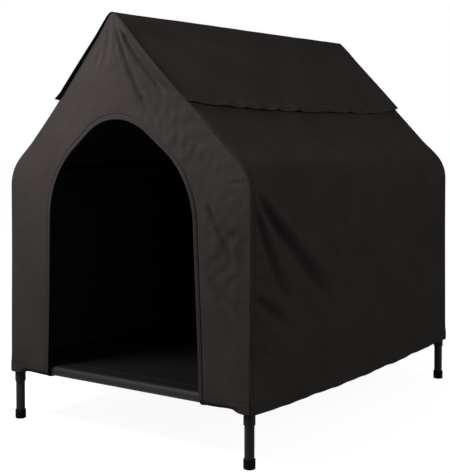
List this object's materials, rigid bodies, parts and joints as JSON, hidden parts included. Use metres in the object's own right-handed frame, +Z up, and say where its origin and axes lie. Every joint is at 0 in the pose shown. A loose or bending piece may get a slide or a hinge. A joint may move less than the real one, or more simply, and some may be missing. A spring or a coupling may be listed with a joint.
{
  "type": "covered raised dog bed",
  "caption": "Raised sling bed for a dog under a house-shaped cloth cover with an arched doorway and a loose second roof layer, on a push-fit tube frame with short capped legs.",
  "frame": {"origin": "on the floor under the middle of the bed, midway between the four legs", "axes": "+Z up, the doorway faces -Y, +X to the right of someone who looks in through the doorway"},
  "size_m": [0.62, 0.915, 0.8528],
  "materials": {
    "cover_cloth": "matte woven polyester",
    "binding_tape": "ribbed woven tape",
    "bed_cloth": "coated woven cloth",
    "vent_mesh": "knitted mesh",
    "hook_tape": "hook-and-loop tape",
    "frame_steel": "satin powder coat",
    "connector_plastic": "fine moulded texture",
    "foot_rubber": "moulded rubber"
  },
  "bodies": {
    "house": {"bed_sling": "bed_cloth", "door_binding": "binding_tape", "front_cross_tube": "frame_steel", "front_hem_tapes": "hook_tape", "front_left_corner_connector": "connector_plastic", "front_left_eave_elbow": "connector_plastic", "front_left_foot_cap": "foot_rubber", "front_left_leg": "frame_steel", "front_left_rafter": "frame_steel", "front_left_upright": "frame_steel", "front_panel": "cover_cloth", "front_ridge_connector": "connector_plastic", "front_right_corner_connector": "connector_plastic", "front_right_eave_elbow": "connector_plastic", "front_right_foot_cap": "foot_rubber", "front_right_leg": "frame_steel", "front_right_rafter": "frame_steel", "front_right_upright": "frame_steel", "left_eave_rail": "frame_steel", "left_hem_tape": "hook_tape", "left_roof_panel": "cover_cloth", "left_side_rail": "frame_steel", "left_vent_mesh": "vent_mesh", "left_wall_panel": "cover_cloth", "rear_cross_tube": "frame_steel", "rear_hem_tape": "hook_tape", "rear_left_corner_connector": "connector_plastic", "rear_left_eave_elbow": "connector_plastic", "rear_left_foot_cap": "foot_rubber", "rear_left_leg": "frame_steel", "rear_left_rafter": "frame_steel", "rear_left_upright": "frame_steel", "rear_panel": "cover_cloth", "rear_ridge_connector": "connector_plastic", "rear_right_corner_connector": "connector_plastic", "rear_right_eave_elbow": "connector_plastic", "rear_right_foot_cap": "foot_rubber", "rear_right_leg": "frame_steel", "rear_right_rafter": "frame_steel", "rear_right_upright": "frame_steel", "ridge_strip": "cover_cloth", "ridge_tube": "frame_steel", "right_eave_rail": "frame_steel", "right_hem_tape": "hook_tape", "right_roof_panel": "cover_cloth", "right_side_rail": "frame_steel", "right_vent_mesh": "vent_mesh", "right_wall_panel": "cover_cloth"},
    "left_flap": {"left_roof_flap": "cover_cloth"},
    "right_flap": {"right_roof_flap": "cover_cloth"}
  },
  "joints": [
    {"name": "right_flap_hinge", "type": "hinge", "parent": "house", "child": "right_flap", "pos_m": [0.0104, 0, 0.84745], "axis": [0, -1, 0], "range_deg": [0, 120]},
    {"name": "left_flap_hinge", "type": "hinge", "parent": "house", "child": "left_flap", "pos_m": [-0.0104, 0, 0.84745], "axis": [0, 1, 0], "range_deg": [0, 120]}
  ]
}
